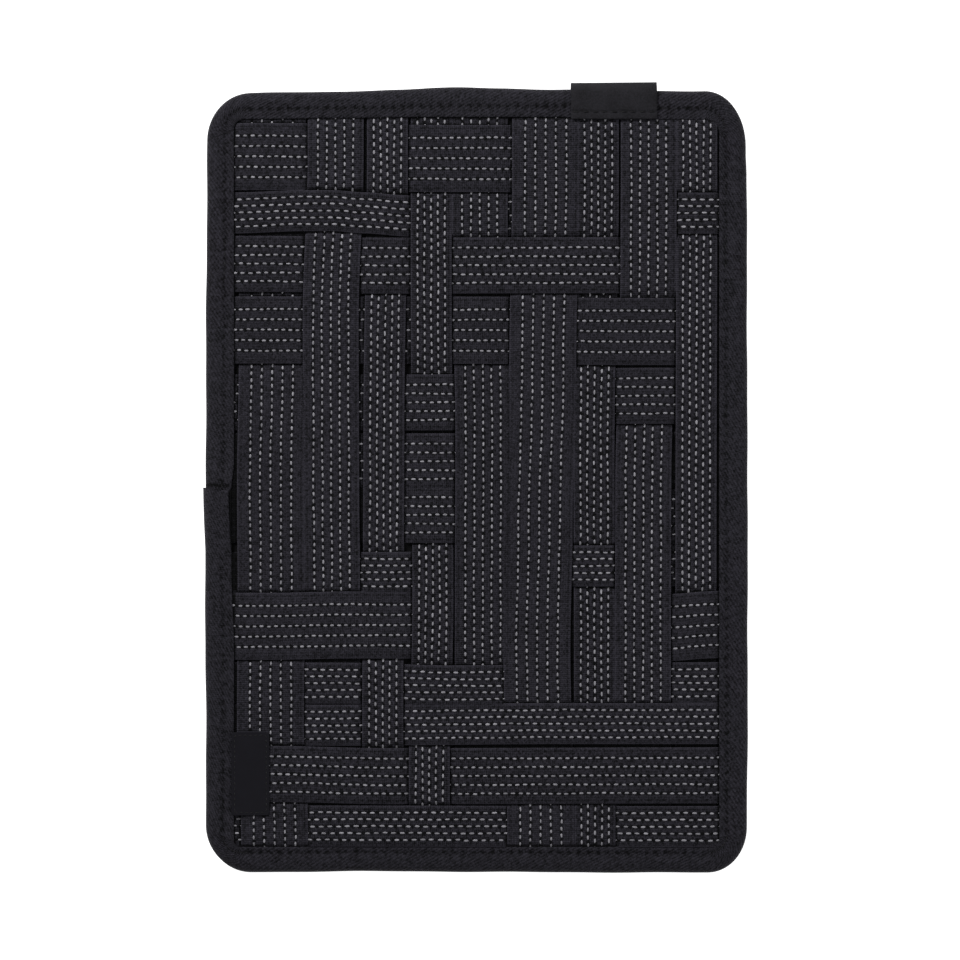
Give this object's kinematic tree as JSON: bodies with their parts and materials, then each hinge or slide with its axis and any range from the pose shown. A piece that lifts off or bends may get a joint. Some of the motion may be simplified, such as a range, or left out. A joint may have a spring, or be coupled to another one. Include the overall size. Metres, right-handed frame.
{
  "type": "cable organizer pouch",
  "caption": "Flat travel organizer: a stiff bound board faced with a weave of elastic straps that hold cables and small gadgets, with a zipped pocket behind it.",
  "frame": {"origin": "centre of the bounding box, on the surface that the pouch lies on", "axes": "+Z out of the strap side, +Y towards the top edge with the folded tab, +X to the right seen from the strap side"},
  "size_m": [0.1958, 0.285, 0.0145],
  "materials": {
    "elastic_webbing": "ribbed woven elastic with rows of light grey rubber grip dashes",
    "lining_fabric": "plain woven lining",
    "stiffener_board": "smooth stiff sheet",
    "padded_fabric": "padded knitted fabric",
    "binding_tape": "ribbed twill tape",
    "tab_ribbon": "smooth woven ribbon",
    "badge_rubber": "matt soft rubber",
    "thread": "polyester sewing thread",
    "zip_tape": "knitted zip tape",
    "zip_coil": "moulded nylon coil",
    "stop_metal": "black enamel on stamped metal",
    "slider_metal": "black enamel on die-cast metal"
  },
  "bodies": {
    "pouch": {"vertical_strap_1": "elastic_webbing", "vertical_strap_2": "elastic_webbing", "vertical_strap_3": "elastic_webbing", "vertical_strap_4": "elastic_webbing", "vertical_strap_5": "elastic_webbing", "vertical_strap_6": "elastic_webbing", "vertical_strap_7": "elastic_webbing", "vertical_strap_8": "elastic_webbing", "vertical_strap_9": "elastic_webbing", "cross_strap_01": "elastic_webbing", "cross_strap_02": "elastic_webbing", "cross_strap_03": "elastic_webbing", "cross_strap_04": "elastic_webbing", "cross_strap_05": "elastic_webbing", "cross_strap_06": "elastic_webbing", "cross_strap_07": "elastic_webbing", "cross_strap_08": "elastic_webbing", "cross_strap_09": "elastic_webbing", "cross_strap_10": "elastic_webbing", "cross_strap_11": "elastic_webbing", "cross_strap_12": "elastic_webbing", "cross_strap_13": "elastic_webbing", "front_lining": "lining_fabric", "core_board": "stiffener_board", "back_cover": "lining_fabric", "pocket_panel": "padded_fabric", "window_stitch": "thread", "binding": "binding_tape", "binding_overlap": "binding_tape", "binding_stitch": "thread", "top_tab": "tab_ribbon", "tab_stitch": "thread", "badge": "badge_rubber", "badge_stitch": "thread", "zip_tape_upper": "zip_tape", "zip_tape_lower": "zip_tape", "zip_coil_upper": "zip_coil", "zip_coil_lower": "zip_coil", "top_stops": "stop_metal", "bottom_stop": "stop_metal"},
    "slider": {"slider_body": "slider_metal"},
    "pull": {"pull_tab": "slider_metal"}
  },
  "joints": [
    {"name": "zipper_slide", "type": "slide", "parent": "pouch", "child": "slider", "axis": [-1, 0, 0], "range_m": [0, 0.115]},
    {"name": "pull_swing", "type": "hinge", "parent": "slider", "child": "pull", "pos_m": [0.0649, 0.0985, 0.00125], "axis": [0, -1, 0], "range_deg": [0, 150]}
  ]
}
